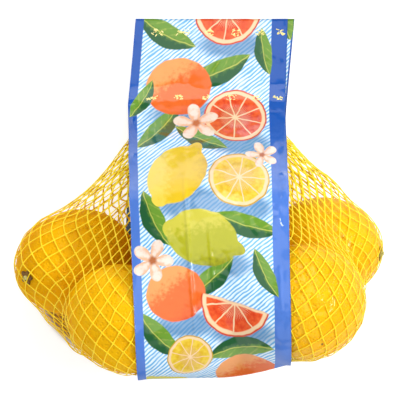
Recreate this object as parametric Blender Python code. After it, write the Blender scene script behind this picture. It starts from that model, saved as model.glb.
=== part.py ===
"""A net bag of lemons, lying on its back with its printed band upwards.

Two pieces: the knitted net, drawn taut round seven lemons and gathered flat at
both ends, and the film band that runs from a flat header over the front, round
a sharp fold at the foot and back underneath.

Units are millimetres in the design and metres in the model. +Z is up, +Y points
to the header and +X to the right. The origin is on the ground, at the middle of
the bag's outline.
"""

import bmesh
import bpy
import numpy as np
from mathutils import Vector

MM = 0.001

# The lemons that give the bag its shape: centre, half length, radius and axis.
LEMONS = (
    ((-74.0, -38.5, 37.5), 40.0, 31.6, (-0.72, -0.17, 0.67)),   # left, below
    ((-42.5, -71.5, 89.0), 37.0, 31.5, (0.88, -0.38, 0.28)),    # left, on top
    ((75.0, -29.6, 31.7), 35.5, 30.0, (0.97, -0.10, 0.20)),     # right, below
    ((63.2, -60.5, 87.8), 35.5, 34.6, (0.15, 0.05, 1.0)),       # right, on top
    ((13.1, -67.9, 33.9), 37.0, 30.5, (0.87, 0.0, 0.49)),       # middle, foot
    ((7.6, -23.8, 89.5), 38.0, 31.0, (0.30, 0.94, 0.13)),       # middle, on top
    ((-8.9, -6.4, 32.2), 38.0, 30.5, (0.50, 0.86, 0.05)),       # middle, head
)

# Where the slack net stands off the lemons: centre and radius.
SLACK = (
    ((-65.0, -79.0, 60.0), 15.0),                               # left, at the foot
    ((-80.5, -65.0, 54.0), 13.4),                               # farther to the left
    ((66.0, -85.0, 62.0), 12.0),                                # right, at the foot
    ((68.0, -3.0, 34.0), 18.5),                                 # right, at the head
    ((92.5, -52.0, 56.0), 7.0),                                 # right, between the lemons
)

# The band
HEADER_END = 109.2          # y of the header's free edge
SEAL = 56.0                 # y of the seal that closes the net's head
FILM = 0.8                  # thickness of the film band
HEADER = 1.6                # the two films of the header, sealed together
FOLD_HEIGHT = 45.0          # height of the sharp fold at the foot
FOLD_LEFT = -108.4          # y of the fold at its left corner
FOLD_LIFT = 9.0             # how far the fold's right corner runs up
FOLD_TURN = 0.55            # share of the fold's width where it starts to run up
FOLD_SLANT = 0.18           # share of that rise in the straight stretch
FOLD_BEND = 1.6             # how sharply the rest runs up
BAND_EDGES = (              # y, then x of the left and of the right edge
    (109.2, -38.6, 54.0),
    (56.0, -43.2, 52.4),
    (-20.0, -39.5, 52.2),
    (-108.4, -36.0, 54.6),
)
BAND_COLUMNS = 14           # strips across the band
HEADER_STATIONS = 3         # and steps along its header,
BAND_STATIONS = 30          # and along each panel
BAND_CLEARANCE = 1.35       # the least gap between band and net
BAND_BEND = 75.0            # the stiff film bends no tighter than this across its width
BAND_REACH = 42.0           # and is carried by what lies this far to either side
BAND_CORE = (-35.0, 60.0)   # y and z at the middle of the load
BAND_SLICES = 21            # planes in which the load is crossed for one string
GROWTH_POINTS = 8           # points of the clearance round each crossing
SHARP_LEAN = 0.45           # keeps the corner at the fold from growing a spike

# The net
NET_COLUMNS = 72            # points round the net
NET_RINGS = 35              # rings from head to foot
NET_PULL = 0.78             # share of the net's pull that runs from head to foot
NET_END_GAP = 3.5           # the net stops this far inside the seal and the fold
NET_HEAD_LEFT = -35.0       # x of the gathered head's left and right corner
NET_HEAD_RIGHT = 44.0
NET_FOOT_INSET = 2.2        # the gathered foot's corners, inside the band's edges
NET_END_THICKNESS = 1.4     # of the flat, gathered ends
NET_END_LIFT = 0.5          # gap between the gathered head and the band's back panel
NET_GROUND = 1.9            # lowest point of the net, above the band's back
NET_SKIN = 0.6              # net outside the lemons
NET_PASSES = 900            # rounds of drawing the net taut
ROOMY_MIDDLE = (1.0, 62.0)  # x and z at the middle of the tube that it starts from
ROOMY_SIZE = (122.0, 75.0)  # and half the tube's width and height
ROOMY_SWELL = 0.4           # how fast that tube widens from the ends
SHARP_ANGLE = 0.7           # edges sharper than this are shown as creases, in radians


def edge_x(y, column):
    """x of the band's left (column 1) or right (2) edge at y."""
    rows = sorted(BAND_EDGES)
    return float(np.interp(y, [row[0] for row in rows], [row[column] for row in rows]))


def fold_y(x):
    """The foot fold's y at x: straight, then running up to the right corner."""
    left, right = BAND_EDGES[-1][1], BAND_EDGES[-1][2]
    along = (x - left) / (right - left)
    turned = max(0.0, along - FOLD_TURN) / (1.0 - FOLD_TURN)
    return FOLD_LEFT + FOLD_LIFT * (FOLD_SLANT * along + (1.0 - FOLD_SLANT) * turned ** FOLD_BEND)


def push_out(points, skin):
    """Move points that lie inside a lemon or a slack place out to its surface."""
    balls = [(centre, radius, radius, (0.0, 0.0, 1.0)) for centre, radius in SLACK]
    for centre, half_length, radius, axis in (*LEMONS, *balls):
        centre = np.array(centre)
        axis = np.array(axis) / np.linalg.norm(axis)
        long, wide = half_length + skin, radius + skin
        shrink = np.eye(3) / wide + (1.0 / long - 1.0 / wide) * np.outer(axis, axis)
        offset = points - centre
        depth = np.linalg.norm(offset @ shrink, axis=-1, keepdims=True)
        points = np.where(depth < 1.0, centre + offset / np.maximum(depth, 1e-6), points)
    return points


def end_ring(y_of_x, height, left, right):
    """A flattened loop, where the net's end is gathered across the band."""
    turn = np.linspace(0.0, 2.0 * np.pi, NET_COLUMNS, endpoint=False)
    x = 0.5 * (left + right) + 0.5 * (right - left) * np.cos(turn)
    z = height + 0.5 * NET_END_THICKNESS * np.sin(turn)
    y = np.array([y_of_x(value) for value in x])
    return np.stack([x, y, z], axis=1)


def taut_net():
    """The net's rings, drawn tight over the lemons from a roomy tube."""
    head = end_ring(
        lambda x: SEAL - NET_END_GAP,
        FILM + NET_END_LIFT + NET_END_THICKNESS,
        NET_HEAD_LEFT,
        NET_HEAD_RIGHT,
    )
    foot = end_ring(
        lambda x: fold_y(x) + NET_END_GAP,
        FOLD_HEIGHT,
        BAND_EDGES[-1][1] + NET_FOOT_INSET,
        BAND_EDGES[-1][2] - NET_FOOT_INSET,
    )
    turn = np.linspace(0.0, 2.0 * np.pi, NET_COLUMNS, endpoint=False)
    roomy_x = ROOMY_MIDDLE[0] + ROOMY_SIZE[0] * np.cos(turn)
    roomy_z = ROOMY_MIDDLE[1] + ROOMY_SIZE[1] * np.sin(turn)
    rings = np.empty((NET_RINGS, NET_COLUMNS, 3))
    for index in range(NET_RINGS):
        along = index / (NET_RINGS - 1)
        swell = np.sin(np.pi * along) ** ROOMY_SWELL
        plain = head * (1.0 - along) + foot * along
        roomy = np.stack([roomy_x, plain[:, 1], roomy_z], axis=1)
        rings[index] = plain * (1.0 - swell) + roomy * swell
    for _ in range(NET_PASSES):
        around = 0.5 * (np.roll(rings, 1, axis=1) + np.roll(rings, -1, axis=1))
        along = 0.5 * (rings[:-2] + rings[2:])
        rings[1:-1] = NET_PULL * along + (1.0 - NET_PULL) * around[1:-1]
        beside = 0.5 * (rings + np.roll(rings, -1, axis=1))
        lift = push_out(beside, NET_SKIN) - beside
        rings[1:-1] += 0.5 * (lift + np.roll(lift, 1, axis=1))[1:-1]
        rings[1:-1] = push_out(rings[1:-1], NET_SKIN)
        rings[1:-1, :, 2] = np.maximum(rings[1:-1, :, 2], NET_GROUND)
    return rings


def new_object(name, mesh_data, colour, roughness):
    """An object from a bmesh, with its own plain material."""
    mesh = bpy.data.meshes.new(name)
    mesh_data.to_mesh(mesh)
    mesh_data.free()
    mesh.shade_smooth()
    mesh.set_sharp_from_angle(angle=SHARP_ANGLE)
    material = bpy.data.materials.new(name)
    material.use_nodes = True
    shader = material.node_tree.nodes["Principled BSDF"]
    shader.inputs["Base Color"].default_value = (*colour, 1.0)
    shader.inputs["Roughness"].default_value = roughness
    shader.inputs["Metallic"].default_value = 0.0
    mesh.materials.append(material)
    thing = bpy.data.objects.new(name, mesh)
    bpy.context.scene.collection.objects.link(thing)


def face_out(mesh_data):
    """Turn every face of a closed body outwards."""
    bmesh.ops.recalc_face_normals(mesh_data, faces=mesh_data.faces)
    if mesh_data.calc_volume(signed=True) < 0.0:
        bmesh.ops.reverse_faces(mesh_data, faces=mesh_data.faces)


def build_net():
    """The net and its load as one solid, closed by the gathered ends."""
    rings = taut_net()
    body = bmesh.new()
    rows = [[body.verts.new(Vector(point) * MM) for point in ring] for ring in rings]
    for upper, lower in zip(rows[:-1], rows[1:]):
        for column in range(NET_COLUMNS):
            beside = (column + 1) % NET_COLUMNS
            body.faces.new((upper[column], upper[beside], lower[beside], lower[column]))
    body.faces.new(rows[0])
    body.faces.new(rows[-1])
    bmesh.ops.triangulate(body, faces=body.faces)
    face_out(body)
    new_object("net", body, (0.88, 0.56, 0.03), 0.55)
    return rings


def section(rings, x):
    """Points (y, z) of the net that carry the film at x, grown by the clearance.

    The farther to the side the net is crossed, the deeper its points are taken,
    as on a sheet that bends across its width to one radius.
    """
    following = np.roll(rings, -1, axis=1)
    turn = np.linspace(0.0, 2.0 * np.pi, GROWTH_POINTS, endpoint=False)
    growth = BAND_CLEARANCE * np.stack([np.cos(turn), np.sin(turn)], axis=1)
    found = []
    core = np.array(BAND_CORE)
    for reach in np.linspace(-BAND_REACH, BAND_REACH, BAND_SLICES):
        plane = x + reach
        for start, end in ((rings, following), (rings[:-1], rings[1:])):
            crossing = (start[..., 0] - plane) * (end[..., 0] - plane) <= 0.0
            first, last = start[crossing], end[crossing]
            step = last[:, 0] - first[:, 0]
            share = (plane - first[:, 0]) / np.where(np.abs(step) < 1e-9, 1.0, step)
            points = first[:, 1:] + share[:, None] * (last - first)[:, 1:] - core
            depth = reach ** 2 / (2.0 * BAND_BEND) / np.linalg.norm(points, axis=1)
            found.append(core + points * (1.0 - depth[:, None]))
    points = np.vstack(found)
    return (points[:, None, :] + growth[None, :, :]).reshape(-1, 2)


def string_over(points, foot, head, side):
    """The string from foot to head, drawn over (side 1) or under (-1) the points."""
    rows = [tuple(point) for point in points if foot[0] < point[0] < head[0]]
    kept = []
    for y, z in [foot, *sorted(rows), head]:
        while len(kept) > 1:
            (y0, z0), (y1, z1) = kept[-2], kept[-1]
            if ((z1 - z0) * (y - y0) - (z - z0) * (y1 - y0)) * side > 0.0:
                break
            kept.pop()
        kept.append((y, z))
    chain = np.array(kept)
    length = np.concatenate([[0.0], np.cumsum(np.linalg.norm(np.diff(chain, axis=0), axis=1))])
    even = np.linspace(0.0, length[-1], BAND_STATIONS + 1)
    return np.stack([np.interp(even, length, chain[:, 0]), np.interp(even, length, chain[:, 1])], axis=1)


def band_x(share, y):
    """x at a share of the band's width, 0 at its left edge and 1 at its right."""
    left, right = edge_x(y, 1), edge_x(y, 2)
    return left + share * (right - left)


def offset_out(profile, distance):
    """Offset a closed y-z profile, head to foot over the front, outwards."""
    before = np.roll(profile, 1, axis=0)
    after = np.roll(profile, -1, axis=0)
    first = profile - before
    second = after - profile
    first /= np.linalg.norm(first, axis=1, keepdims=True)
    second /= np.linalg.norm(second, axis=1, keepdims=True)
    normal = np.stack([first[:, 1] + second[:, 1], -(first[:, 0] + second[:, 0])], axis=1)
    normal /= np.linalg.norm(normal, axis=1, keepdims=True)
    square = np.stack([first[:, 1], -first[:, 0]], axis=1)
    lean = np.maximum(np.sum(normal * square, axis=1, keepdims=True), SHARP_LEAN)
    return profile + normal * distance / lean


def join_loops(body, loops):
    """Faces between each closed loop of vertices and the next."""
    for near, far in zip(loops[:-1], loops[1:]):
        count = len(near)
        for index in range(count):
            after = (index + 1) % count
            body.faces.new((near[index], near[after], far[after], far[index]))


def close_side(body, outer, inner):
    """The band's side edge: the header's full thickness, then the film's round the load."""
    seal = HEADER_STATIONS
    last = len(outer) - 1
    for index in range(seal):
        body.faces.new((outer[index], outer[index + 1], outer[last - 1 - index], outer[last - index]))
    body.faces.new((outer[seal], inner[0], outer[last - seal]))
    for index in range(len(inner)):
        after = (index + 1) % len(inner)
        body.faces.new((outer[seal + index], outer[seal + index + 1], inner[after], inner[index]))


def build_band(rings):
    """The film band: header, front panel, foot fold and back panel in one."""
    body = bmesh.new()
    outer, inner = [], []
    header = np.linspace(HEADER_END, SEAL, HEADER_STATIONS + 1)
    for column in range(BAND_COLUMNS + 1):
        share = column / BAND_COLUMNS
        points = section(rings, band_x(share, BAND_CORE[0]))
        foot = (fold_y(band_x(share, FOLD_LEFT)), FOLD_HEIGHT)
        seal = (SEAL, 0.5 * (FILM + HEADER))
        front = string_over(points, foot, seal, 1.0)[::-1]
        back = string_over(points, foot, seal, -1.0)[1:-1]
        back[:, 1] = np.maximum(back[:, 1], FILM)
        profile = np.vstack([front, back])
        skin = offset_out(profile, FILM)
        chain = [(y, HEADER) for y in header] + [tuple(point) for point in skin[1:]]
        chain += [(y, 0.0) for y in header[::-1]]
        outer.append([
            body.verts.new(Vector((band_x(share, y), y, max(z, 0.0))) * MM) for y, z in chain
        ])
        inner.append([
            body.verts.new(Vector((band_x(share, y), y, z)) * MM) for y, z in profile
        ])
    join_loops(body, outer)
    join_loops(body, inner)
    close_side(body, outer[0], inner[0])
    close_side(body, outer[-1], inner[-1])
    bmesh.ops.triangulate(body, faces=body.faces)
    face_out(body)
    new_object("film_band", body, (0.16, 0.36, 0.78), 0.25)


def main():
    for thing in list(bpy.data.objects):
        bpy.data.objects.remove(thing)
    rings = build_net()
    build_band(rings)


main()
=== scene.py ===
"""A net bag of lemons, lying on its back with its printed film band upwards."""
import math
import bmesh
import bpy
import numpy as np
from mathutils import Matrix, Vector, noise
from mathutils.bvhtree import BVHTree


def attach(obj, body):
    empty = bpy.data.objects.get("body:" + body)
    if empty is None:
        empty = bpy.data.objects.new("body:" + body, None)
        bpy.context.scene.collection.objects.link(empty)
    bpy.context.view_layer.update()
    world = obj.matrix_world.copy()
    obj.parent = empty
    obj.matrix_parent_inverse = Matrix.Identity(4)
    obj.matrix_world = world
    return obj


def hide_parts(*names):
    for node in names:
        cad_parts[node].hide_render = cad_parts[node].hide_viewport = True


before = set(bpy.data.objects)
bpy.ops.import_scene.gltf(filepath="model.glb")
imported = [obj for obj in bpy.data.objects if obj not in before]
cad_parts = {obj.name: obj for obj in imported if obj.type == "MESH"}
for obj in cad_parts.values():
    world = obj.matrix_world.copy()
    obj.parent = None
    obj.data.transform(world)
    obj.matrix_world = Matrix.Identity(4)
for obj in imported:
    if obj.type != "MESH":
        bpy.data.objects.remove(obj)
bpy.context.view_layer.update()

MM = 0.001
BODY = "root"

# ---- sizes, in mm

SETTLE = 1.3  # the real film is thinner than its solid, so all lies lower
# centre, half length, radius, axis towards the stem, turn about the axis
LEMONS = {
    "lemon_left_low": ((-74.0, -38.5, 37.5), 40.0, 31.6, (-0.72, -0.22, 0.66), 0.3),
    "lemon_left_top": ((-42.5, -71.5, 89.0), 37.0, 31.5, (0.88, -0.38, 0.28), 1.1),
    "lemon_right_low": ((75.0, -29.6, 31.7), 35.5, 30.0, (0.97, -0.10, 0.20), 2.0),
    "lemon_right_top": ((63.2, -60.5, 87.8), 35.5, 34.6, (-0.22, -0.04, -1.0), 0.0),
    "lemon_foot": ((13.1, -67.9, 33.9), 37.0, 30.5, (0.87, 0.0, 0.49), 0.9),
    "lemon_middle_top": ((7.6, -23.8, 89.5), 38.0, 31.0, (0.30, 0.94, 0.13), 2.6),
    "lemon_head": ((-8.9, -6.4, 32.2), 38.0, 30.5, (0.50, 0.86, 0.05), 1.7),
}
# where the slack net stands off the lemons: centre and radius
SLACK = (
    ((-65.0, -79.0, 60.0), 15.0),
    ((-80.5, -65.0, 54.0), 13.4),
    ((66.0, -85.0, 62.0), 12.0),
    ((68.0, -3.0, 34.0), 18.5),
    ((92.5, -52.0, 56.0), 7.0),
)

HEADER_END = 109.2
SEAL = 56.0
FOLD_HEIGHT = 45.0
FOLD_LEFT = -108.4
FOLD_LIFT = 9.0
FOLD_TURN = 0.55  # share of the fold's width where it starts to run up
FOLD_SLANT = 0.18  # share of its lift that comes evenly over the whole width
FOLD_BEND = 1.6  # how sharply the rest runs up
# y, then x of the band's left and right edge
BAND_EDGES = (
    (109.2, -38.6, 54.0),
    (56.0, -43.2, 52.4),
    (-20.0, -39.5, 52.2),
    (-108.4, -36.0, 54.6),
)
# y, then how far the back panel is shifted to the right of the front
BACK_SHIFT = ((109.2, 4.2), (50.0, 0.5), (-20.0, -5.0), (-108.4, 0.0))
BAND_BEND = 75.0  # the film bends no tighter than this across its width
BAND_REACH = 42.0  # and is carried by what lies this far to either side
BAND_SLICES = 21
BAND_CORE = (-35.0, 60.0)  # y and z at the middle of the load
BAND_CLEARANCE = 1.9
GROWTH_POINTS = 8  # points of the clearance round each crossing
BAND_COLUMNS = 180
STRING_COLUMNS = 40
FRONT_STATIONS = 130
BACK_STATIONS = 50
HEADER_STATIONS = 30
SEAL_REACH = 15  # stations before and after the seal that bend softly
SEAL_PASSES = 90
FRONT_PASSES = 32  # rounds of softening along the front,
WIDTH_PASSES = 60  # and across it
HEADER_TOP = 0.9  # heights of the header's two films,
HEADER_BOTTOM = 0.3
SEAL_BOTTOM = 0.5  # of the back film at the seal,
FILM_GROUND = 0.25  # and of the film's lowest points
BEHIND_STATIONS = 8.0  # stations past the fold in which the back moves sideways
FILM = 0.12
FILM_WIDTH = 92.6
PRINT_RISE = 0.35  # how much of the film's climb counts in the print's length
PRINT_BACK_SHIFT = 8.5  # the print lies this much further across on the back
PRINT_FOOT = 203.0  # print length where the steep foot begins
FOOT_LEAN = 0.034  # and how fast its shading leans upwards, so that the floor doesn't bleach it
# start and end along the strip, place across it, drift, height, half width
CREASES = (
    (104.0, 222.0, 32.0, 0.035, 0.62, 1.15),
    (136.0, 200.0, 45.5, 0.055, 0.58, 1.05),
    (108.0, 132.0, 91.0, -0.25, 0.60, 1.0),
    (150.0, 190.0, 86.5, 0.02, 0.40, 1.2),
)
CREASE_FADE = 18.0
# place across and along the strip, reach and height
DENTS = (
    (86.5, 130.0, 4.0, 2.6),
    (90.0, 117.0, 2.8, 1.4),
    (90.0, 106.0, 2.4, 1.1),
    (3.0, 66.0, 2.4, 0.9),
    (2.5, 92.0, 2.4, 0.9),
    (87.0, 206.0, 6.0, 1.4),
    (84.0, 196.0, 4.0, 1.0),
)
LOOSE_EDGES = ((0.0, 0.4), (FILM_WIDTH, 2.1))  # place across, and phase of the ripples
LOOSE_REACH = 4.5
LOOSE_HEIGHT = 0.45
LOOSE_RIPPLE = 6.1  # mm per radian along the strip,
LOOSE_DRIFT = (1.3, 17.0)  # with a slow shift of this many radians and mm per radian
DENT_LONG = 0.7  # under 1: longer along the strip than across it
WAVE_HEIGHT = 0.16
WAVE_BASE = 1.5
# share, then two sines: mm per radian across and along the strip, and phase
WAVES = (
    (1.0, (9.0, 14.0, 0.0), (-21.0, 11.0, 0.7)),
    (0.5, (4.1, -7.3, 1.9), (6.0, 19.0, 0.0)),
)
RELIEF_STOP = 6  # stations before the fold where the front's relief ends,
RELIEF_PASSES = 8  # and rounds of softening there
# places across the strip of the bars of welds
WELD_BARS = (14.0, 29.5, 45.0, 60.5, 76.0, 88.5)
WELD_BAR_LENGTH = 6.0
WELD_BAR_REACH = (0.35, 0.65)  # least and most share of that length to either side
WELD_SPECKS = 12
WELD_TURN = 0.9  # most turn of a speck, in radians,
WELD_DRIFT = 1.0  # and most distance from the row, in stations
WELD_ENDS = (0.01, 0.98)  # shares of the width beyond which no speck lies
WELD_SIZES = ((0.4, 1.3), (0.25, 0.5), (0.25, 0.4))  # least and most length, width, height
WELD_RINGS = 5
WELD_SIDES = 10
WELD_STATIONS = {"weld_row_end": 4.7, "weld_row_seal": 28.4}

NET_COLUMNS = 74
NET_ROWS = 42  # even
NET_BAR = 7.9
NET_TWIST = 5.0  # cells of twist from head to foot
NET_TWIST_SWING = 11.0  # more on the left, less on the right
NET_HEAD_LEFT = -35.0  # x of the gathered head's corners
NET_HEAD_RIGHT = 44.0
NET_HEAD_HEIGHT = 1.6
NET_HEAD_GAP = 3.0  # the net stops this far inside the seal,
NET_FOOT_GAP = 2.6  # this far inside the fold,
NET_FOOT_INSET = 1.5  # and this far inside the band's edges
NET_END_HALF = 0.7  # half the thickness of the flat, gathered ends
NET_PULL = 0.78  # share of the net's pull that runs from head to foot
NET_PASSES = 900  # rounds of drawing the net taut
ROOMY_MIDDLE = (1.0, 62.0)  # x and z at the middle of the tube that it starts from
ROOMY_SIZE = (122.0, 75.0)  # and half the tube's width and height
ROOMY_SWELL = 0.4  # how fast that tube widens from the ends
HANG_PASSES = 420  # rounds of giving each bar its length
BAR_SPREAD = 0.035  # how much the bars' lengths vary
BAR_SHORTEN = 0.45  # how fast a long bar shortens,
BAR_LENGTHEN = 0.06  # and a short one lengthens
HANG_SMOOTH = 0.08
NET_MIDDLE = (5.0, -35.0, 55.0)
NET_SKIN = 0.25
NET_GROUND = 0.7
STRAND_WIDTH = 0.80
STRAND_WIDTH_HEAD = 1.25  # where the net is bunched, beyond the lemons
BUNCH_START = -22.0
BUNCH_LENGTH = 40.0
STRAND_THICKNESS = 0.42
STRAND_STEPS = 5
STRAND_SIDES = 6
KNOT_REACH = 0.16  # in bars
KNOT_WIDENS = 0.35
KNOT_THICKENS = 0.5

PEEL_RINGS = 110
PEEL_SEGMENTS = 170
PEEL_SINK = 0.12  # the peel is drawn in this far, so that few lumps reach the net
PEEL_BODY = 0.945  # the body's share of the half length, without the bumps at its ends
PEEL_ROUND = 0.88  # under 1: fuller near the ends than an ellipse
# bumps at the stem and at the tip: share of the half length, place and reach in radians
STEM_BUMPS = ((0.055, 0.0, 0.34), (-0.040, 0.0, 0.12))
TIP_BUMPS = ((0.055, 0.0, 0.32), (0.045, 0.0, 0.075), (-0.026, 0.155, 0.05))
PEEL_LOBES = 5
PEEL_LOBE = 0.008
PEEL_SHRINK = 0.005  # so that the lobes stay under the net
PEEL_NUB = 3.0  # the lumps fade out this near the axis
# lumps per mm and height
RELIEF = ((0.045, 0.55), (0.16, 0.20), (0.42, 0.07))
RELIEF_SHIFT = (17.0, 5.0, 3.0)
DOUBLED = 0.02

CALYX_RADIUS = 4.0
CALYX_SIDES = 60
CALYX_LOBE = 0.24
CALYX_LOBES_FROM = 0.3  # the lobes begin at this share of the rim,
CALYX_LOBES_OVER = 0.4  # and are full after this much more
CALYX_CURL = 0.35
CALYX_CURL_FROM = 0.9
# distance from the middle as a share of the rim, and height
CALYX_STEPS = (
    (0.00, 2.9), (0.22, 2.9), (0.31, 2.7), (0.36, 1.6), (0.50, 1.5),
    (0.75, 1.75), (0.95, 1.45), (1.00, 0.9), (0.80, -0.4), (0.0, -0.8),
)


# ---- geometry

def from_rows(rows, y, column):
    """A value at y from rows that start with their y."""
    rows = sorted(rows)
    return np.interp(y, [row[0] for row in rows], [row[column] for row in rows])


def band_x(y, share):
    """x at y and at a share of the band's width from its left edge."""
    return from_rows(BAND_EDGES, y, 1) * (1 - share) + from_rows(BAND_EDGES, y, 2) * share


def fold_y(x):
    """The foot fold's y at x: straight, then running up to the right corner."""
    left, right = BAND_EDGES[-1][1], BAND_EDGES[-1][2]
    along = (np.asarray(x) - left) / (right - left)
    turned = np.maximum(0.0, along - FOLD_TURN) / (1.0 - FOLD_TURN)
    return FOLD_LEFT + FOLD_LIFT * (FOLD_SLANT * along + (1.0 - FOLD_SLANT) * turned ** FOLD_BEND)


def unit(vectors):
    """Vectors scaled to length one."""
    return vectors / np.maximum(np.linalg.norm(vectors, axis=-1, keepdims=True), 1e-9)


def obstacles():
    """Centre, half length, radius and axis of all that holds the net out."""
    shapes = [facts[:4] for facts in LEMONS.values()]
    shapes += [(centre, radius, radius, (0.0, 0.0, 1.0)) for centre, radius in SLACK]
    found = []
    for centre, half_length, radius, axis in shapes:
        found.append((np.array(centre) - (0, 0, SETTLE), half_length, radius, unit(np.array(axis))))
    return found


OBSTACLES = obstacles()


def clear(points):
    """Move points that lie inside an obstacle out to the skin over it, and off the ground."""
    for centre, half_length, radius, axis in OBSTACLES:
        long, wide = half_length + NET_SKIN, radius + NET_SKIN
        shrink = np.eye(3) / wide + (1.0 / long - 1.0 / wide) * np.outer(axis, axis)
        offset = points - centre
        depth = np.linalg.norm(offset @ shrink, axis=-1, keepdims=True)
        points = np.where(depth < 1.0, centre + offset / np.maximum(depth, 1e-6), points)
    points[..., 2] = np.maximum(points[..., 2], NET_GROUND)
    return points


def new_object(name, data):
    """An object in the scene."""
    made = bpy.data.objects.new(name, data)
    bpy.context.scene.collection.objects.link(made)
    return made


def mesh_piece(name, vertices, faces):
    """A new object from vertices in millimetres."""
    mesh = bpy.data.meshes.new(name)
    mesh.from_pydata((np.asarray(vertices) * MM).tolist(), [], faces)
    mesh.update()
    mesh.shade_smooth()
    return new_object(name, mesh)


def grid_faces(rows, columns, closed_columns):
    """Quads of a grid of vertices stored row by row."""
    wide = columns if closed_columns else columns - 1
    row, column = np.meshgrid(np.arange(rows - 1), np.arange(wide), indexing="ij")
    beside = (column + 1) % columns
    upper, lower = row * columns, (row + 1) * columns
    quads = [upper + column, upper + beside, lower + beside, lower + column]
    return np.stack(quads, axis=-1).reshape(-1, 4)


# ---- the net

def gathered_ring(turn, y_of_x, height, left, right):
    """A flattened loop, where the net's end is gathered across the band."""
    x = 0.5 * (left + right) + 0.5 * (right - left) * np.cos(turn)
    z = height + NET_END_HALF * np.sin(turn)
    return np.stack([x, y_of_x(x) + 0.0 * x, z], axis=-1)


def row_turns(row):
    """Angles round the net of a row's knots; the net twists more on its left."""
    even = 2.0 * np.pi * (np.arange(NET_COLUMNS) + 0.5 * (row % 2)) / NET_COLUMNS
    twist = NET_TWIST - NET_TWIST_SWING * np.cos(even)
    return even + 2.0 * np.pi * twist / NET_COLUMNS * (row / NET_ROWS - 0.5)


def taut_net():
    """Rows of knots, drawn tight over the lemons from a roomy tube."""
    knots = np.empty((NET_ROWS + 1, NET_COLUMNS, 3))
    head_ends = (NET_HEAD_HEIGHT, NET_HEAD_LEFT, NET_HEAD_RIGHT)
    foot_ends = (FOLD_HEIGHT, BAND_EDGES[-1][1] + NET_FOOT_INSET, BAND_EDGES[-1][2] - NET_FOOT_INSET)
    for row in range(NET_ROWS + 1):
        turn = row_turns(row)
        along = row / NET_ROWS
        head = gathered_ring(turn, lambda x: SEAL - NET_HEAD_GAP, *head_ends)
        foot = gathered_ring(turn, lambda x: fold_y(x) + NET_FOOT_GAP, *foot_ends)
        plain = head * (1.0 - along) + foot * along
        roomy_x = ROOMY_MIDDLE[0] + ROOMY_SIZE[0] * np.cos(turn)
        roomy_z = ROOMY_MIDDLE[1] + ROOMY_SIZE[1] * np.sin(turn)
        roomy = np.stack([roomy_x, plain[:, 1], roomy_z], axis=1)
        swell = np.sin(np.pi * along) ** ROOMY_SWELL
        knots[row] = plain * (1.0 - swell) + roomy * swell
    for _ in range(NET_PASSES):
        knots[1:-1] = clear(pulled(knots))
    return knots


def bars(knots):
    """The four groups of bars: views of their upper and lower knots."""
    even, odd, below = knots[0:NET_ROWS:2], knots[1:NET_ROWS:2], knots[2::2]
    return (even, odd, 0), (even, odd, 1), (odd, below, -1), (odd, below, 0)


def pulled(knots):
    """Where the four knots that it is tied to, and those beside it, pull each inner knot."""
    ahead = np.roll(knots, -1, axis=1)
    behind = np.roll(knots, 1, axis=1)
    mean = np.empty_like(knots[1:-1])
    mean[0::2] = 0.25 * (knots[0:-2:2] + ahead[0:-2:2] + knots[2::2] + ahead[2::2])
    mean[1::2] = 0.25 * (knots[1:-2:2] + behind[1:-2:2] + knots[3::2] + behind[3::2])
    return NET_PULL * mean + (1.0 - NET_PULL) * 0.5 * (ahead + behind)[1:-1]


def guide_surface():
    """The net's solid, lowered to where the thin film lets it lie, as a search tree."""
    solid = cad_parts["net"]
    vertices = [solid.matrix_world @ vertex.co / MM for vertex in solid.data.vertices]
    for point in vertices:
        point.z = max(point.z - SETTLE, NET_GROUND)
    return BVHTree.FromPolygons(vertices, [tuple(face.vertices) for face in solid.data.polygons])


def onto(tree, points):
    """The nearest places on the guide surface."""
    flat = points.reshape(-1, 3)
    found = np.array([tree.find_nearest(point)[0] for point in flat])
    return found.reshape(points.shape)


def hang_net(knots):
    """Let the knots slide on the guide surface until every bar has its length."""
    rng = np.random.default_rng(5)
    tree = guide_surface()
    rests = [NET_BAR * rng.normal(1.0, BAR_SPREAD, group[0].shape[:2] + (1,)) for group in bars(knots)]
    first, last = knots[0].copy(), knots[-1].copy()
    for _ in range(HANG_PASSES):
        for (upper, lower, turn), rest in zip(bars(knots), rests):
            ends = np.roll(lower, turn, axis=1)
            span = ends - upper
            length = np.linalg.norm(span, axis=-1, keepdims=True)
            error = (length - rest) / np.maximum(length, 1e-6)
            move = span * error * np.where(error > 0.0, BAR_SHORTEN, BAR_LENGTHEN)
            upper += move
            lower -= np.roll(move, -turn, axis=1)
        knots[0], knots[-1] = first, last
        knots[1:-1] += HANG_SMOOTH * (pulled(knots) - knots[1:-1])
        knots[1:-1] = onto(tree, knots[1:-1])
    knots[1:-1] = clear(knots[1:-1])
    return knots


def net_normals(knots):
    """Outward normals at the knots."""
    around = np.roll(knots, -1, axis=1) - np.roll(knots, 1, axis=1)
    along = np.empty_like(knots)
    along[1:-1] = knots[2:] - knots[:-2]
    along[0], along[-1] = knots[2] - knots[0], knots[-1] - knots[-3]
    normals = unit(np.cross(around, along))
    flip = np.sum(normals * (knots - np.array(NET_MIDDLE)), axis=-1).mean() < 0
    return -normals if flip else normals


def strand_knots(grid, falling):
    """Follow each strand of one family from head to foot: (strand, row, 3)."""
    rows = []
    column = np.arange(NET_COLUMNS)
    for row in range(NET_ROWS + 1):
        rows.append(grid[row, column % NET_COLUMNS])
        column = column + (row % 2) - falling
    return np.stack(rows, axis=1)


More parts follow.
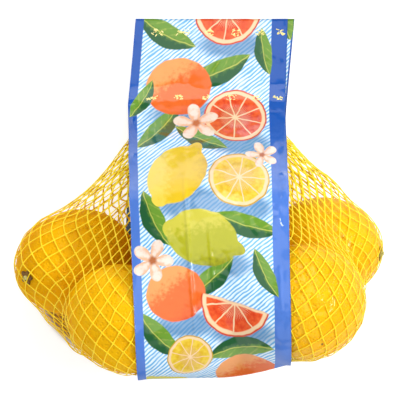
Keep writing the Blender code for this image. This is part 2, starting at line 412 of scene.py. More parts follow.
def smooth_through(points, steps):
    """Catmull-Rom samples through points along axis 1."""
    before = np.concatenate([2 * points[:, :1] - points[:, 1:2], points[:, :-1]], axis=1)[:, :-1]
    start, end = points[:, :-1], points[:, 1:]
    after = np.concatenate([points[:, 2:], 2 * points[:, -1:] - points[:, -2:-1]], axis=1)
    parts = []
    for k in range(steps):
        t = k / steps
        parts.append(0.5 * (
            2 * start + (end - before) * t
            + (2 * before - 5 * start + 4 * end - after) * t ** 2
            + (3 * start - before - 3 * end + after) * t ** 3
        ))
    mixed = np.stack(parts, axis=2).reshape(points.shape[0], -1, 3)
    return np.concatenate([mixed, points[:, -1:]], axis=1)


def strand_tubes(name, knots, normals, falling):
    """Flat tubes along one family of strands, thicker at the knots."""
    path = smooth_through(strand_knots(knots, falling), STRAND_STEPS)
    out = unit(smooth_through(strand_knots(normals, falling), STRAND_STEPS))
    path = clear(path)
    along = unit(np.gradient(path, axis=1))
    across = unit(np.cross(along, out))
    out = unit(np.cross(across, along))
    count, length = path.shape[:2]
    phase = np.arange(length) / STRAND_STEPS
    knot = np.exp(-((phase - np.round(phase)) / KNOT_REACH) ** 2)
    bunched = np.clip((path[..., 1] - BUNCH_START) / BUNCH_LENGTH, 0.0, 1.0)
    width = STRAND_WIDTH + (STRAND_WIDTH_HEAD - STRAND_WIDTH) * bunched
    wide = 0.5 * width * (1.0 + KNOT_WIDENS * knot)
    thick = 0.5 * STRAND_THICKNESS * (1.0 + KNOT_THICKENS * knot)
    angle = 2.0 * np.pi * np.arange(STRAND_SIDES) / STRAND_SIDES
    sideways = wide[..., None, None] * np.cos(angle)[:, None]
    upwards = thick[:, None, None] * np.sin(angle)[:, None]
    rings = path[:, :, None] + across[:, :, None] * sideways + out[:, :, None] * upwards
    corner = np.arange(count * length * STRAND_SIDES).reshape(count, -1)
    faces = (grid_faces(length, STRAND_SIDES, True) + corner[:, :1, None]).reshape(-1, 4).tolist()
    faces += corner[:, STRAND_SIDES - 1::-1].tolist() + corner[:, -STRAND_SIDES:].tolist()
    return mesh_piece(name, rings.reshape(-1, 3), faces)


# ---- the lemons

def lemon_profile(turn, half_length, radius):
    """Distance from the axis and along it, from the stem (0) to the tip (pi)."""
    along = PEEL_BODY * half_length * np.cos(turn)
    for height, place, reach in STEM_BUMPS:
        along += height * half_length * np.exp(-((turn - place) / reach) ** 2)
    for height, place, reach in TIP_BUMPS:
        along -= height * half_length * np.exp(-((np.pi - turn - place) / reach) ** 2)
    return radius * np.sin(turn) ** PEEL_ROUND, along


def laid(points, centre, axis):
    """Points about +Z, turned to a lemon's axis and moved to where it lies."""
    turned = np.array(Vector((0.0, 0.0, 1.0)).rotation_difference(Vector(axis)).to_matrix())
    return points @ turned.T + np.array(centre) - (0.0, 0.0, SETTLE)


def relief(points, seed):
    """How far the peel stands out at points, in mm: broad lumps to small bumps."""
    shift = Vector((seed * RELIEF_SHIFT[0], seed * RELIEF_SHIFT[1], RELIEF_SHIFT[2]))
    heights = np.empty(len(points))
    for index, point in enumerate(points):
        where = Vector(point)
        heights[index] = sum(height * noise.noise(where * pitch + shift) for pitch, height in RELIEF)
    return heights - PEEL_SINK


def lemon(name, centre, half_length, radius, axis, seed):
    """One lemon's peel: a turned body with a tip, slightly lobed and uneven."""
    turn = np.linspace(0.0, np.pi, PEEL_RINGS)
    away, along = lemon_profile(turn, half_length, radius)
    around = np.linspace(0.0, 2.0 * np.pi, PEEL_SEGMENTS, endpoint=False) + seed
    lobes = PEEL_LOBE * np.cos(PEEL_LOBES * around)[None, :] * np.sin(turn)[:, None] ** 0.5
    lobes += 1.0 - PEEL_SHRINK
    x = away[:, None] * np.cos(around)[None, :] * lobes
    y = away[:, None] * np.sin(around)[None, :] * lobes
    z = np.repeat(along[:, None], PEEL_SEGMENTS, axis=1)
    flat = np.stack([x, y, z], axis=-1).reshape(-1, 3)
    fade = np.clip(np.linalg.norm(flat[:, :2], axis=1) / PEEL_NUB, 0.0, 1.0)
    flat = flat + unit(flat) * (relief(flat, seed) * fade)[:, None]
    quads = grid_faces(PEEL_RINGS, PEEL_SEGMENTS, True)
    piece = mesh_piece(name, laid(flat, centre, axis), quads.tolist())
    close_poles(piece)
    return piece


def close_poles(piece):
    """Merge the doubled vertices at the two poles and face the surface outwards."""
    body = bmesh.new()
    body.from_mesh(piece.data)
    bmesh.ops.remove_doubles(body, verts=body.verts, dist=DOUBLED * MM)
    bmesh.ops.recalc_face_normals(body, faces=body.faces)
    body.to_mesh(piece.data)
    body.free()
    piece.data.shade_smooth()


def calyx(name, centre, half_length, radius, axis, seed):
    """The five-lobed button at a lemon's stem end, with the stub of its stem."""
    around = np.linspace(0.0, 2.0 * np.pi, CALYX_SIDES, endpoint=False)
    rows, shares = [], []
    for share, height in CALYX_STEPS:
        outside = min(1.0, max(0.0, share - CALYX_LOBES_FROM) / CALYX_LOBES_OVER)
        away = CALYX_RADIUS * share * (1.0 + CALYX_LOBE * np.cos(5 * around + seed) * outside)
        lift = height + CALYX_CURL * np.cos(2 * around + seed) * (share > CALYX_CURL_FROM)
        rows.append(np.stack([away * np.cos(around), away * np.sin(around), lift + 0.0 * away], axis=-1))
        shares.append(np.full(CALYX_SIDES, share if height > 0.0 else 1.0))
    flat = np.concatenate(rows)
    flat[:, 2] += lemon_profile(np.array([0.0]), half_length, radius)[1][0]
    quads = grid_faces(len(CALYX_STEPS), CALYX_SIDES, True)
    piece = mesh_piece(name, laid(flat, centre, axis), quads.tolist())
    ring = piece.data.attributes.new("ring", "FLOAT", "POINT")
    ring.data.foreach_set("value", np.concatenate(shares))
    close_poles(piece)
    return piece


# ---- the film band

def sections(knots, x):
    """Points (y, z) of the net that carry the film at x."""
    core = np.array(BAND_CORE)
    found = []
    following = np.roll(knots, -1, axis=1)
    turn = np.linspace(0.0, 2.0 * np.pi, GROWTH_POINTS, endpoint=False)
    growth = BAND_CLEARANCE * np.stack([np.cos(turn), np.sin(turn)], axis=1)
    for reach in np.linspace(-BAND_REACH, BAND_REACH, BAND_SLICES):
        plane = x + reach
        for start, end in ((knots, following), (knots[:-1], knots[1:])):
            crossing = (start[..., 0] - plane) * (end[..., 0] - plane) <= 0.0
            first, last = start[crossing], end[crossing]
            step = last[:, 0] - first[:, 0]
            share = (plane - first[:, 0]) / np.where(np.abs(step) < 1e-9, 1.0, step)
            points = first[:, 1:] + share[:, None] * (last - first)[:, 1:] - core
            depth = reach ** 2 / (2.0 * BAND_BEND) / np.linalg.norm(points, axis=1)
            found.append(core + points * (1.0 - depth[:, None]))
    points = np.vstack(found)
    return (points[:, None, :] + growth[None, :, :]).reshape(-1, 2)


def string_over(points, foot, head, side, stations):
    """The string from foot to head pulled over (side 1) or under (-1) the points."""
    rows = [tuple(point) for point in points if foot[0] < point[0] < head[0]]
    kept = []
    for y, z in [foot, *sorted(rows), head]:
        while len(kept) > 1:
            (y0, z0), (y1, z1) = kept[-2], kept[-1]
            if ((z1 - z0) * (y - y0) - (z - z0) * (y1 - y0)) * side > 0.0:
                break
            kept.pop()
        kept.append((y, z))
    chain = np.array(kept)
    length = np.concatenate([[0.0], np.cumsum(np.linalg.norm(np.diff(chain, axis=0), axis=1))])
    even = np.linspace(0.0, length[-1], stations + 1)
    return np.stack([np.interp(even, length, chain[:, 0]), np.interp(even, length, chain[:, 1])], axis=1)


def blur(grid, passes, axis):
    """Repeated three-point averages along one axis, ends kept."""
    for _ in range(passes):
        moved = np.swapaxes(grid, 0, axis)
        inner = 0.25 * moved[:-2] + 0.5 * moved[1:-1] + 0.25 * moved[2:]
        moved[1:-1] = inner
        grid = np.swapaxes(moved, 0, axis)
    return grid


def spread(grid, count):
    """More columns between those of a grid, along its first axis."""
    given, wanted = np.linspace(0.0, 1.0, len(grid)), np.linspace(0.0, 1.0, count)
    columns = [np.interp(wanted, given, line) for line in grid.reshape(len(grid), -1).T]
    return np.stack(columns, axis=1).reshape((count,) + grid.shape[1:])


def film_profile(knots, share):
    """The strip's line (y, z) at a share of the width: header, front, fold, back, header."""
    points = sections(knots, band_x(BAND_CORE[0], share))
    foot = (float(fold_y(band_x(FOLD_LEFT, share))), FOLD_HEIGHT)
    front = string_over(points, foot, (SEAL, HEADER_TOP), 1.0, FRONT_STATIONS)[::-1]
    back = string_over(points, foot, (SEAL, SEAL_BOTTOM), -1.0, BACK_STATIONS)
    header = np.linspace(HEADER_END, SEAL, HEADER_STATIONS + 1)[:-1]
    upper = np.stack([header, np.full_like(header, HEADER_TOP)], axis=1)
    lower = np.stack([header[::-1], np.full_like(header, HEADER_BOTTOM)], axis=1)
    return np.vstack([upper, front, back[1:], lower])


def strip_length(y, z):
    """Print length along the strip from the header's end; the back mirrors the front."""
    step = np.hypot(np.diff(y, axis=1), PRINT_RISE * np.diff(z, axis=1))
    length = np.concatenate([np.zeros((len(y), 1)), np.cumsum(step, axis=1)], axis=1)
    fold = HEADER_STATIONS + FRONT_STATIONS
    behind = 2.0 * length[:, fold:fold + 1] - length[:, fold:]
    return np.concatenate([length[:, :fold], behind], axis=1)


def window(value, start, end, soft):
    """1 between start and end, falling to 0 over a soft margin."""
    return np.clip((value - start) / soft, 0.0, 1.0) * np.clip((end - value) / soft, 0.0, 1.0)


def film_relief(across, along):
    """How far the film stands out, in mm: pulled creases, loose edges, faint waves."""
    out = np.zeros_like(across)
    for start, end, begin, slope, height, wide in CREASES:
        middle = begin + slope * (along - start)
        ridge = np.exp(-((across - middle) / wide) ** 2)
        out += height * ridge * window(along, start, end, CREASE_FADE)
    for edge, phase in LOOSE_EDGES:
        near = np.exp(-((across - edge) / LOOSE_REACH) ** 2)
        ripple = np.sin(along / LOOSE_RIPPLE + phase + LOOSE_DRIFT[0] * np.sin(along / LOOSE_DRIFT[1]))
        out += near * LOOSE_HEIGHT * (1.0 + ripple)
    for place_across, place_along, reach, height in DENTS:
        away = np.hypot(across - place_across, (along - place_along) * DENT_LONG)
        out += height * np.exp(-(away / reach) ** 2)
    wave = 0.0
    for height, *sines in WAVES:
        for wide, long, phase in sines:
            height = height * np.sin(across / wide + along / long + phase)
        wave = wave + height
    return out + WAVE_HEIGHT * (WAVE_BASE + wave)


def band_strip(knots):
    """Middle surface of the strip and its print coordinates: (column, station, 3) each."""
    coarse = np.array([film_profile(knots, k / STRING_COLUMNS) for k in range(STRING_COLUMNS + 1)])
    strip = spread(coarse, BAND_COLUMNS + 1)
    front = slice(2, HEADER_STATIONS + FRONT_STATIONS - 2)
    strip[:, front] = blur(blur(strip[:, front], FRONT_PASSES, 1), WIDTH_PASSES, 0)
    seal = slice(HEADER_STATIONS - SEAL_REACH, HEADER_STATIONS + SEAL_REACH)
    strip[:, seal] = blur(strip[:, seal], SEAL_PASSES, 1)
    share = np.linspace(0.0, 1.0, BAND_COLUMNS + 1)[:, None]
    y, z = strip[..., 0], strip[..., 1]
    past_fold = np.arange(strip.shape[1]) - HEADER_STATIONS - FRONT_STATIONS
    behind = np.clip(past_fold / BEHIND_STATIONS, 0.0, 1.0)
    x = band_x(y, share) + from_rows(BACK_SHIFT, y, 1) * behind[None, :]
    points = np.stack([x, y, z], axis=-1)
    across = FILM_WIDTH * share - PRINT_BACK_SHIFT * behind[None, :]
    along = strip_length(y, z)
    facing = np.where(past_fold[None, :] > -RELIEF_STOP, 0.0, 1.0)
    facing = blur(facing, RELIEF_PASSES, 1)
    points = points + strip_normals(points) * (film_relief(across, along) * facing)[..., None]
    points[..., 2] = np.maximum(points[..., 2], FILM_GROUND)
    return points, np.stack([across, along, 0.0 * along], axis=-1)


def strip_normals(strip):
    """Outward normals of the strip."""
    normal = unit(np.cross(np.gradient(strip, axis=1), np.gradient(strip, axis=0)))
    return normal if normal[len(strip) // 2, HEADER_STATIONS // 2, 2] > 0 else -normal


def film(knots):
    """The band as one thin folded strip."""
    strip, print_place = band_strip(knots)
    columns, stations = strip.shape[:2]
    normal = strip_normals(strip)
    vertices = np.concatenate([
        (strip + 0.5 * FILM * normal).reshape(-1, 3),
        (strip - 0.5 * FILM * normal).reshape(-1, 3),
    ])
    quads = grid_faces(columns, stations, False)
    half = columns * stations
    faces = quads[:, ::-1].tolist() + (quads + half).tolist()
    index = np.arange(half).reshape(columns, stations)
    rim = np.concatenate([index[:, 0], index[-1, 1:], index[-2::-1, -1], index[0, -2:0:-1]]).tolist()
    for start, end in zip(rim, rim[1:] + rim[:1]):
        faces.append((start, end, end + half, start + half))
    piece = mesh_piece("film_strip", vertices, faces)
    place = piece.data.attributes.new("strip", "FLOAT_VECTOR", "POINT")
    place.data.foreach_set("vector", np.tile(print_place.reshape(-1, 3), (2, 1)).ravel())
    return piece, strip, normal


def on_strip(grid, column, station):
    """A value between the points of a grid laid over the strip."""
    c, k = int(column), int(station)
    u, v = column - c, station - k
    near = grid[c, k] * (1 - v) + grid[c, k + 1] * v
    far = grid[c + 1, k] * (1 - v) + grid[c + 1, k + 1] * v
    return near * (1 - u) + far * u


def weld_row(name, strip, normal, station, seed):
    """A row of small welds where the net's plastic has been pressed through the film."""
    rng = np.random.default_rng(seed)
    last = strip.shape[0] - 1
    lean = np.linspace(0.0, 0.5 * np.pi, WELD_RINGS)
    around = np.linspace(0.0, 2.0 * np.pi, WELD_SIDES, endpoint=False)
    dome = np.stack([
        np.outer(np.cos(lean), np.cos(around)),
        np.outer(np.cos(lean), np.sin(around)),
        np.outer(np.sin(lean), np.ones(WELD_SIDES)),
    ], axis=-1).reshape(-1, 3)
    vertices, faces = [], []
    for bar in WELD_BARS:
        reach = WELD_BAR_LENGTH * rng.uniform(*WELD_BAR_REACH)
        for _ in range(WELD_SPECKS):
            column = np.clip((bar + rng.uniform(-reach, reach)) / FILM_WIDTH, *WELD_ENDS) * last
            row = station + rng.uniform(-WELD_DRIFT, WELD_DRIFT)
            place, out = on_strip(strip, column, row), on_strip(normal, column, row)
            turn = rng.uniform(-WELD_TURN, WELD_TURN)
            side = unit(strip[int(column) + 1, int(row)] - strip[int(column), int(row)])
            long_way = side * math.cos(turn) + np.cross(out, side) * math.sin(turn)
            size = [rng.uniform(*limits) for limits in WELD_SIZES]
            base = len(vertices)
            vertices += list(place + (dome * size) @ np.array((long_way, np.cross(out, long_way), out)))
            faces += (grid_faces(WELD_RINGS, WELD_SIDES, True) + base).tolist()
            faces.append(list(range(base, base + WELD_SIDES))[::-1])
    return mesh_piece(name, vertices, faces)


# ---- materials

def srgb(red, green, blue):
    """Linear, opaque colour of a colour given as it is seen, each part 0 to 255."""
    shares = [part / 255.0 for part in (red, green, blue)]
    linear = [c / 12.92 if c <= 0.04045 else ((c + 0.055) / 1.055) ** 2.4 for c in shares]
    return (*linear, 1.0)


def feed(socket, value):
    """Link a socket to a field or to a node's output, or set it to a plain value."""
    value = value.socket if isinstance(value, Field) else value
    if isinstance(value, bpy.types.NodeSocket):
        socket.id_data.links.new(value, socket)
    else:
        socket.default_value = value


def new_node(tree, kind, inputs, **settings):
    """A shader node with its settings made and its inputs fed."""
    node = tree.nodes.new("ShaderNode" + kind)
    for name, value in settings.items():
        setattr(node, name, value)
    for key, value in inputs.items():
        feed(node.inputs[key], value)
    return node


class Field:
    """A number that varies over a surface, worked out by math nodes."""

    def __init__(self, socket):
        self.socket = socket

    def math(self, operation, *others, first=None):
        given = [self, *others] if first is None else [first, self, *others]
        inputs = dict(enumerate(given))
        return Field(new_node(self.socket.id_data, "Math", inputs, operation=operation).outputs[0])

    def __add__(self, other):
        return self.math("ADD", other)

    def __sub__(self, other):
        return self.math("SUBTRACT", other)

    def __rsub__(self, other):
        return self.math("SUBTRACT", first=other)

    def __mul__(self, other):
        return self.math("MULTIPLY", other)

    def __abs__(self):
        return self.math("ABSOLUTE")

    def sine(self):
        return self.math("SINE")

    def step(self, low, high, start=0.0, end=1.0):
        """A smooth rise from start to end while this number goes from low to high."""
        if low > high:
            low, high, start, end = high, low, end, start
        inputs = {"Value": self, "From Min": low, "From Max": high, "To Min": start, "To Max": end}
        node = new_node(self.socket.id_data, "MapRange", inputs, interpolation_type="SMOOTHSTEP")
        return Field(node.outputs["Result"])


class Surface:
    """A material under construction: a colour laid on in coats, then perhaps a bump."""

    def __init__(self, name, colour, roughness, **more):
        self.material = bpy.data.materials.new(name)
        self.material.use_nodes = True
        self.colour = colour
        self.set(Roughness=roughness, **more)

    def set(self, **inputs):
        """Feed the shader's inputs, named with _ for spaces."""
        shader = self.material.node_tree.nodes["Principled BSDF"]
        for name, value in inputs.items():
            feed(shader.inputs[name.replace("_", " ")], value)

    def node(self, kind, inputs, **settings):
        return new_node(self.material.node_tree, kind, inputs, **settings)

    def place(self, attribute=None):
        """The surface's own coordinates in metres, or a named attribute of the mesh."""
        if attribute is None:
            return self.node("TexCoord", {}).outputs["Object"]
        return self.node("Attribute", {}, attribute_name=attribute).outputs["Vector"]

    def noise(self, place, size, detail=2.0, distortion=0.0):
        """Noise with features of about the given size, in the units of the place."""
        inputs = {"Vector": place, "Scale": 1.0 / size, "Detail": detail, "Distortion": distortion}
        return self.node("TexNoise", inputs)

    def patches(self, place, size, **more):
        return Field(self.noise(place, size, **more).outputs["Fac"])

    def cells(self, place, size):
        """Distance to the nearest of points strewn about a size apart."""
        return Field(self.node("TexVoronoi", {"Vector": place, "Scale": 1.0 / size}).outputs["Distance"])

    def local(self, place, centre, turn=0.0, size=(1.0, 1.0)):
        """Coordinates about a centre, turned and scaled to a motif's half size."""
        return self.node("Mapping", {
            "Vector": place,
            "Location": (*centre, 0.0),
            "Rotation": (0.0, 0.0, math.radians(turn)),
            "Scale": (*size, 1.0),
        }, vector_type="TEXTURE").outputs["Vector"]

    def parts(self, vector):
        """A vector's three numbers."""
        return [Field(output) for output in self.node("SeparateXYZ", {0: vector}).outputs]

    def length(self, vector):
        return Field(self.node("VectorMath", {0: vector}, operation="LENGTH").outputs["Value"])

    def wobble(self, place, size, reach):
        """The place shifted by noise, for edges as of a brush."""
        colour = self.noise(place, size, detail=1.0).outputs["Color"]
        centred = self.node("VectorMath", {0: colour, 1: (0.5, 0.5, 0.5)}, operation="SUBTRACT")
        inputs = {0: centred.outputs[0], 1: (reach, reach, 0.0), 2: place}
        return self.node("VectorMath", inputs, operation="MULTIPLY_ADD").outputs[0]

    def mixed(self, under, over, mask):
        """One colour over another, as strongly as the mask says."""
        return self.node("Mix", {0: mask, 6: under, 7: over}, data_type="RGBA").outputs[2]

    def coat(self, colour, mask):
        """Lay a colour over what is there."""
        self.colour = self.mixed(self.colour, colour, mask)

    def finish(self, bump=None, depth=0.0):
        """The material with its coats and, if given, its bump."""
        self.set(Base_Color=self.colour)
        if bump is not None:
            normal = self.node("Bump", {"Distance": depth, "Height": bump}).outputs["Normal"]
            self.set(Normal=normal, Coat_Normal=normal)
        return self.material


SPECK = srgb(96, 62, 20)
SPECK_SIZE = 0.0008  # in metres, as all sizes and places in these materials
# painted glow of the net's strands
NET_PAINTED_GLOW = 0.07  # stands for the light that comes through the thin strands


def peel_material(name, light, deep, wax, specks=()):
    """Waxy lemon peel: faint patches, pores, and a dark speck where one is given."""
    surface = Surface(name, light, 0.45, Specular_IOR_Level=0.0, Coat_Weight=wax, Coat_Roughness=0.12)
    place = surface.place()
    surface.coat(deep, surface.patches(place, 0.022, detail=3.0).step(0.40, 0.72, 0.0, 0.85))
    pores = surface.cells(place, 0.0021)
    surface.coat(deep, pores.step(0.28, 0.05, 0.0, 0.30))
    for centre in specks:
        away = surface.length(surface.local(place, centre, 0.0, (SPECK_SIZE, SPECK_SIZE)))
        surface.coat(SPECK, away.step(1.0, 0.5, 0.0, 0.8))
    mottle = surface.patches(place, 0.0045)
    height = pores.step(0.05, 0.55) * 0.85 + mottle * 0.8
    return surface.finish(height, 0.00040)


def calyx_material(name, leaf, rim):
    """Stem button: pale green middle, darker lobes."""
    surface = Surface(name, leaf, 0.6, Specular_IOR_Level=0.25)
    ring = surface.parts(surface.place("ring"))[0]
    place = surface.place()
    surface.coat(srgb(212, 202, 118), ring.step(0.40, 0.26))
    surface.coat(rim, ring.step(0.72, 1.0, 0.0, 0.85))
    grit = surface.patches(place, 0.0009, detail=3.0)
    surface.coat(srgb(64, 40, 18), grit.step(0.52, 0.70, 0.0, 0.5))
    return surface.finish(grit, 0.0005)


def net_material():
    """Yellow knitted plastic strand: lighter patches, fine grain, a soft shine and a faint painted glow
    for the light through the strands.
    """
    surface = Surface("net_yellow", srgb(250, 217, 34), 0.45, Specular_IOR_Level=0.15)
    surface.set(Emission_Color=srgb(250, 205, 40), Emission_Strength=NET_PAINTED_GLOW)
    place = surface.place()
    surface.coat(srgb(251, 226, 52), surface.patches(place, 0.006).step(0.45, 0.7, 0.0, 0.6))
    threads = surface.patches(place, 0.0005, detail=1.0)
    return surface.finish(threads, 0.0002)


def weld_material():
    """Pale, melted net plastic."""
    surface = Surface("weld_plastic", srgb(252, 240, 165), 0.35)
    grain = surface.patches(surface.place(), 0.0008)
    surface.coat(srgb(238, 214, 84), grain.step(0.45, 0.7, 0.0, 0.8))
    return surface.finish(grain, 0.0003)


# ---- the film's print

SKY = srgb(92, 172, 228)
PAPER = srgb(226, 241, 249)
BORDER = srgb(76, 120, 204)
# the borders' deeper blue towards the header: partly print, partly painted shade where the head light
# would pale them
BORDER_DEEP_SHADED = srgb(22, 82, 170)
SHADE = srgb(84, 132, 178)
ORANGE = (srgb(206, 62, 20), srgb(230, 104, 34), srgb(240, 166, 92))
PULP = (srgb(212, 58, 22), srgb(232, 98, 44))
RIND = srgb(238, 206, 164)
LEMON = (srgb(196, 152, 20), srgb(228, 190, 28), srgb(236, 212, 84))
GREEN_LEMON = (srgb(122, 126, 30), srgb(176, 176, 32), srgb(212, 202, 78))
LEAF = (srgb(28, 88, 46), srgb(104, 148, 46), srgb(176, 184, 82))
PETAL = (srgb(232, 184, 150), srgb(240, 220, 206))
HEART = srgb(178, 92, 34)

LEFT_BORDER = 5.2  # mm across the strip
RIGHT_BORDER = 83.0
BORDER_EDGE = 0.25
HATCH_TURN = -40.0
HATCH_PITCH = 2.0
LEAF_WIDTH = 0.36


def printed_shadow(surface, place, _, centre, size):
    """A soft blue shadow on the ground."""
    away = surface.length(surface.local(place, centre, 0.0, size))
    surface.coat(SHADE, away.step(1.15, 0.55, 0.0, 0.8))


def shaded_fruit(surface, colours, mask, across, along, brush):
    """Three tones laid on a fruit, lit from the upper left."""
    deep, middle, light = colours
    tone = across * 0.55 + along * 0.75 + brush * 0.9
    surface.coat(surface.mixed(middle, deep, tone.step(0.35, 1.35)), mask)
    surface.coat(light, mask * tone.step(-0.05, -0.55, 0.0, 0.8))


def printed_orange(surface, place, brush, centre, size):
    """A whole orange, seen from the side."""
    local = surface.local(place, centre, 0.0, (size, size * 0.93))
    across, along, _ = surface.parts(local)
    mask = surface.length(local).step(1.02, 0.97)
    shaded_fruit(surface, ORANGE, mask, across, along, brush)


def printed_slice(surface, place, brush, centre, size, turn, half, citrus):
    """A round slice, or half of one, with rind, pith and segments."""
    rind, pulp = citrus
    local = surface.local(place, centre, turn, (size, size))
    across, along, _ = surface.parts(local)
    away = surface.length(local)
    whole = away.step(1.02, 0.98)
    if half:
        whole = whole * along.step(-0.03, 0.03)
    surface.coat(rind, whole)
    surface.coat(RIND, whole * away.step(0.97, 0.93))
    angle = along.math("ARCTAN2", across)
    wall = abs((angle * 4.5).sine()) * away
    inside = away.step(0.86, 0.82) * wall.step(0.05, 0.13)
    if half:
        inside = inside * along.step(0.04, 0.09)
    surface.coat(surface.mixed(*pulp, (away + brush * 1.5).step(0.2, 1.1)), inside)
    streak = abs((angle * 29.0 + brush * 6.0).sine()) * away.step(0.85, 0.3)
    surface.coat(RIND, inside * streak.step(0.55, 1.0, 0.0, 0.55))


def printed_lemon(surface, place, brush, centre, size, turn, colours):
    """A lemon lying along its own axis, with a nub at each end."""
    local = surface.local(place, centre, turn, (size, size * 0.76))
    across, along, _ = surface.parts(local)
    body = surface.length(local)
    nub = surface.length(surface.local(local, (0.92, 0.0), 0.0, (0.26, 0.24)))
    stalk = surface.length(surface.local(local, (-0.90, 0.0), 0.0, (0.20, 0.27)))
    outline = body.math("SMOOTH_MIN", nub, 0.35).math("SMOOTH_MIN", stalk, 0.35)
    mask = outline.step(0.99, 0.94)
    shaded_fruit(surface, colours, mask, across, along, brush)


def printed_leaf(surface, place, brush, centre, size, turn):
    """A pointed leaf: a light and a dark half, a midrib and side veins."""
    local = surface.local(place, centre, turn, (size, size * LEAF_WIDTH))
    across, along, _ = surface.parts(local)
    along = along + (across * across) * 0.35 - 0.12
    edge = 1.0 - across * across
    mask = (edge - abs(along)).step(0.0, 0.10)
    deep, middle, light = LEAF
    side = (along + brush * 0.9).step(-0.25, 0.35)
    surface.coat(surface.mixed(middle, deep, side), mask)
    veins = ((across - abs(along) * 0.45) * 19.0).sine() * 0.5 + brush
    surface.coat(light, mask * veins.step(0.25, 0.75, 0.0, 0.55) * along.step(0.25, -0.45))
    surface.coat(light, mask * abs(along).step(0.07, 0.02))


def printed_blossom(surface, place, brush, centre, size, turn):
    """Five round petals about an orange heart."""
    local = surface.local(place, centre, turn, (size, size))
    across, along, _ = surface.parts(local)
    away = surface.length(local)
    angle = along.math("ARCTAN2", across)
    petal = abs((angle * 2.5).sine())
    mask = (away - petal.math("POWER", 0.8) * 0.72).step(0.28, 0.22)
    tone = (petal + brush).step(0.55, 1.0)
    surface.coat(surface.mixed(*PETAL, tone), mask)
    surface.coat(HEART, away.step(0.26, 0.10, 0.0, 0.9))


def print_layers(layers, surface, place, brush):
    """Print every motif of some layers."""
    for draw, motifs in layers:
        for motif in motifs:
            draw(surface, place, brush, *motif)


def film_material():
    """Glossy film printed with fruit on a hatched ground between blue borders."""
    surface = Surface("film_print", PAPER, 0.11, Specular_IOR_Level=0.40)
    straight = surface.place("strip")
    across, along, _ = surface.parts(straight)
    place = surface.wobble(straight, 7.0, 1.6)
    brush = surface.patches(straight, 2.6) - 0.5
    hatch_across, hatch_along, _ = surface.parts(surface.local(place, (0.0, 0.0), HATCH_TURN))
    stretched = surface.local(straight, (0.0, 0.0), HATCH_TURN, (9.0, 1.0))
    pencil = surface.patches(stretched, 1.1)
    lines = hatch_along * (2.0 * math.pi / HATCH_PITCH) + hatch_across * 0.02
    strokes = lines.sine() + (pencil - 0.5) * 4.2
    surface.coat(SKY, strokes.step(-0.8, 0.9, 0.0, 0.95))

    print_layers(UNDER_BORDERS, surface, place, brush)
    left = across.step(LEFT_BORDER + BORDER_EDGE, LEFT_BORDER - BORDER_EDGE)
    right = across.step(RIGHT_BORDER - BORDER_EDGE, RIGHT_BORDER + BORDER_EDGE)
    # borders deeper towards the header: partly print, partly painted shade
    tint = (along + brush * 30.0).step(60.0, 128.0)
    surface.coat(surface.mixed(BORDER_DEEP_SHADED, BORDER, tint), left + right)
    print_layers(OVER_BORDERS, surface, place, brush)

    facets = surface.patches(straight, 13.0, detail=1.0, distortion=0.6)
    foot = (along - PRINT_FOOT).math("MAXIMUM", 0.0)
    return surface.finish(facets - foot * foot * (0.5 * FOOT_LEAN), 0.0014)


ORANGE_CITRUS = (ORANGE[0], PULP)
LEMON_CITRUS = (LEMON[0], (srgb(214, 170, 30), srgb(234, 204, 70)))

# all in mm across and along the strip: centre, half size, turn in degrees, and kind
PRINT_ORANGES = (
    ((29, 42), 19.5),
    ((66, 232), 19),
    ((25, 176), 17.5),
)
PRINT_LEMONS = (
    ((28, 104), 22, -58, LEMON),
    ((42, 144), 22, 18, GREEN_LEMON),
    ((16, 246), 20, 62, GREEN_LEMON),
)
PRINT_SLICES = (
    ((56, -4), 20, 15, False, ORANGE_CITRUS),
    ((63, 62), 18.5, 15, False, ORANGE_CITRUS),
    ((64, 108), 18, 40, False, LEMON_CITRUS),
    ((60, 182), 20.5, 16, True, ORANGE_CITRUS),
    ((32, 214), 13.5, 0, False, LEMON_CITRUS),
)
PRINT_LEAVES_UNDER = (
    ((19, 9), 21, 28),
    ((52, 32), 22, -24),
    ((18, 70), 20, -50),
    ((42, 78), 18, 30),
    ((14, 132), 19, 66),
    ((68, 136), 20, 14),
    ((46, 168), 19, -38),
    ((14, 200), 19, 48),
    ((62, 210), 21, 170),
)
PRINT_LEAVES_OVER = (
    ((79, 20), 15, 78),
    ((8, 50), 14, -62),
    ((78, 164), 16, 64),
)
PRINT_BLOSSOMS = (
    ((40, 66), 14, 10),
    ((12, 156), 13, 40),
    ((78, 90), 10, 0),
)
PRINT_SHADOWS = (
    ((36, 60), (26, 11)),
    ((66, 82), (20, 10)),
    ((60, 16), (24, 9)),
    ((36, 124), (24, 11)),
    ((68, 126), (18, 9)),
    ((48, 160), (26, 10)),
    ((30, 194), (22, 9)),
    ((64, 200), (22, 9)),
)
UNDER_BORDERS = (
    (printed_shadow, PRINT_SHADOWS),
    (printed_leaf, PRINT_LEAVES_UNDER),
    (printed_orange, PRINT_ORANGES),
    (printed_lemon, PRINT_LEMONS),
)
OVER_BORDERS = (
    (printed_slice, PRINT_SLICES),
    (printed_leaf, PRINT_LEAVES_OVER),
    (printed_blossom, PRINT_BLOSSOMS),
)


# ---- build

DRY_STEM = "lemon_left_low"  # the others' buttons are greener
# light and deep colour of the peel, and how waxy it is; the two left lemons are a little deeper, partly
# their own tone and partly painted shade
PEELS = {
    "lemon_left_low": (srgb(240, 180, 12), srgb(226, 162, 8), 0.08),
    "lemon_left_top": (srgb(243, 186, 14), srgb(233, 172, 10), 0.10),
    "lemon_right_low": (srgb(247, 191, 16), srgb(242, 180, 12), 0.42),
    "lemon_right_top": (srgb(247, 189, 14), srgb(240, 178, 10), 0.42),
}
HIDDEN_PEEL = PEELS["lemon_left_top"]
# x and y, in metres, of dark specks
SPECKS = {"lemon_right_top": ((0.0720, -0.0855),)}


def add_piece(piece, material, node):
    """Give a piece its material and its place among the part's bodies."""
    piece.data.materials.append(material)
    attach(piece, BODY)
    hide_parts(node)


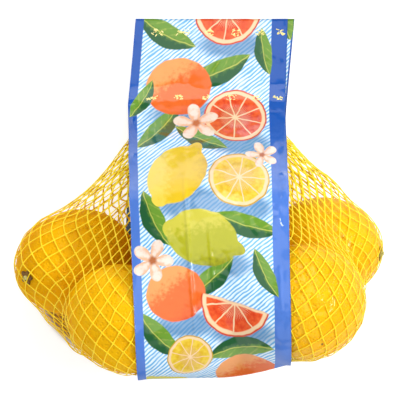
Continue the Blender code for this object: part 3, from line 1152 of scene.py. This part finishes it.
def build():
    knots = hang_net(taut_net())
    normals = net_normals(knots)
    net_yellow = net_material()
    for name, falling in (("net_strands_rising", False), ("net_strands_falling", True)):
        add_piece(strand_tubes(name, knots, normals, falling), net_yellow, "net")
    buttons = (
        calyx_material("stem_button_fresh", srgb(178, 164, 72), srgb(142, 114, 46)),
        calyx_material("stem_button_dry", srgb(134, 98, 38), srgb(98, 60, 24)),
    )
    for name, facts in LEMONS.items():
        peel = peel_material(name + "_peel", *PEELS.get(name, HIDDEN_PEEL), SPECKS.get(name, ()))
        add_piece(lemon(name, *facts), peel, "net")
        add_piece(calyx(name.replace("lemon", "stem"), *facts), buttons[name == DRY_STEM], "net")
    strip, middle, outward = film(knots)
    add_piece(strip, film_material(), "film_band")
    welds = weld_material()
    for index, (name, station) in enumerate(WELD_STATIONS.items()):
        add_piece(weld_row(name, middle, outward, station, index), welds, "film_band")


build()

# ---- floor, lights, camera

FLOOR_HALF = 3000.0  # mm
WHITE = (1.0, 1.0, 1.0, 1.0)
FLOOR_GREY = (0.50, 0.50, 0.50, 1.0)
FLOOR_GREY_DEEP = (0.48, 0.48, 0.48, 1.0)
FLOOR_GLOW = 0.70
# centre, turn and half size of the places under the lemons that have no glow, in metres; the second also
# carries the painted warm shade
FLOOR_SHADES = (
    ((-0.002, -0.064), 0.0, (0.100, 0.046)),
    ((-0.0646, -0.0616), -47.6, (0.047, 0.032)),
)
# painted warm shade on the floor under the lower left lemons, standing for their shadow
FLOOR_PAINTED_SHADE = srgb(172, 122, 36)  # the peel's colour thrown on the floor
LIGHT_AIM = (0.0, 0.0, 0.05)
# name, place, power, width and height
LIGHTS = (
    ("softbox_right", (0.80, 0.05, 1.00), 8.0, 0.66, 0.14),
    ("softbox_head", (0.05, 1.05, 0.80), 6.5, 0.8, 0.8),
    ("softbox_top", (0.35, 0.20, 3.00), 31.0, 2.4, 2.4),
    ("softbox_left", (-1.05, 0.00, 0.72), 1.7, 0.8, 0.8),
    ("softbox_foot", (0.00, -1.05, 0.72), 1.8, 0.8, 0.8),
)
WORLD_LIGHT = 0.34
CAMERA_PLACE = (0.0006, -0.0012, 2.6)
VIEW_WIDTH = 0.240  # metres across the picture,
VIEW_LEVEL = 0.040  # at this height


def floor():
    """A white ground that glows, but not in the shade of the lemons, with a painted warm shade under the
    lower left lemons.
    """
    size = FLOOR_HALF
    corners = [(-size, -size, 0), (size, -size, 0), (size, size, 0), (-size, size, 0)]
    piece = mesh_piece("floor", corners, [(0, 1, 2, 3)])
    surface = Surface("floor_white", FLOOR_GREY, 0.8)
    place = surface.place()
    under, beside = [surface.length(surface.local(place, *shade)) for shade in FLOOR_SHADES]
    glow = under.step(0.60, 1.0) * beside.step(0.84, 1.0, 0.0, FLOOR_GLOW)
    surface.set(Emission_Color=WHITE, Emission_Strength=glow)
    surface.coat(FLOOR_GREY_DEEP, surface.patches(place, 0.004).step(0.4, 0.6))
    # painted warm shade where the lower left lemons' shadow shows through the net
    surface.coat(FLOOR_PAINTED_SHADE, beside.step(1.0, 0.76))
    piece.data.materials.append(surface.finish())


def area_light(name, place, power, width, height):
    """A softbox, aimed at the bag."""
    data = bpy.data.lights.new(name, "AREA")
    data.shape = "RECTANGLE"
    data.size = width
    data.size_y = height
    data.energy = power
    lamp = new_object(name, data)
    lamp.location = place
    lamp.rotation_euler = (Vector(LIGHT_AIM) - Vector(place)).to_track_quat("-Z", "Y").to_euler()


floor()
for light in LIGHTS:
    area_light(*light)

world = bpy.data.worlds.new("studio")
bpy.context.scene.world = world
world.use_nodes = True
background = world.node_tree.nodes["Background"]
background.inputs["Color"].default_value = WHITE
background.inputs["Strength"].default_value = WORLD_LIGHT

camera_data = bpy.data.cameras.new("camera")
camera_data.lens = camera_data.sensor_width * (CAMERA_PLACE[2] - VIEW_LEVEL) / VIEW_WIDTH
camera = new_object("camera", camera_data)
camera.location = CAMERA_PLACE
bpy.context.scene.camera = camera

bpy.context.scene.view_settings.view_transform = "Standard"
